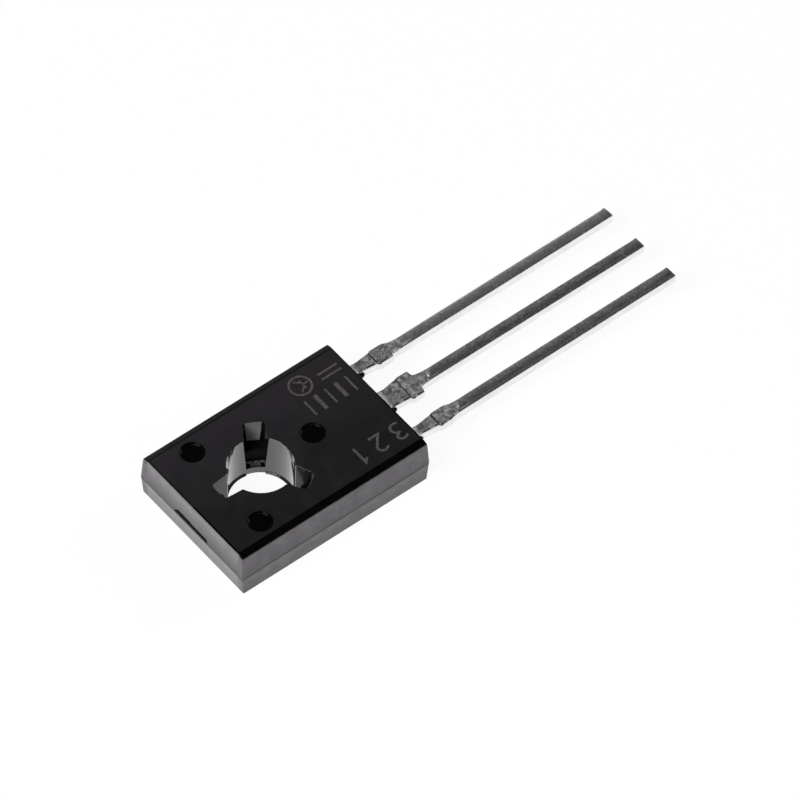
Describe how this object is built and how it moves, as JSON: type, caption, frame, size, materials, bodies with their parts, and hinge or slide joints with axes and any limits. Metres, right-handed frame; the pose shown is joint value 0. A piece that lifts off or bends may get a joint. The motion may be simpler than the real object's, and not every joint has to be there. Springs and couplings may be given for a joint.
{
  "type": "npn power transistor",
  "caption": "Flat black plastic power transistor with a screw hole and tinned leads in a row, for board mounting or fixing to a heatsink.",
  "frame": {"origin": "centre of the screw hole on the back face, which is the heatsink side", "axes": "+Z out of the marked face along the screw hole, +Y towards the end with the hole, and the leads run along -Y with the emitter at -X, the collector at X 0 and the base at +X"},
  "size_m": [0.0074, 0.0259, 0.0026],
  "materials": {
    "moulding": "satin",
    "tinned_copper": "satin",
    "solder": "satin",
    "silicon": "polished",
    "bond_wire": "satin"
  },
  "bodies": {
    "root": {"moulded_body": "moulding", "collector_frame": "tinned_copper", "emitter_lead": "tinned_copper", "base_lead": "tinned_copper", "die_solder": "solder", "silicon_die": "silicon", "emitter_wire": "bond_wire", "base_wire": "bond_wire"}
  },
  "joints": []
}
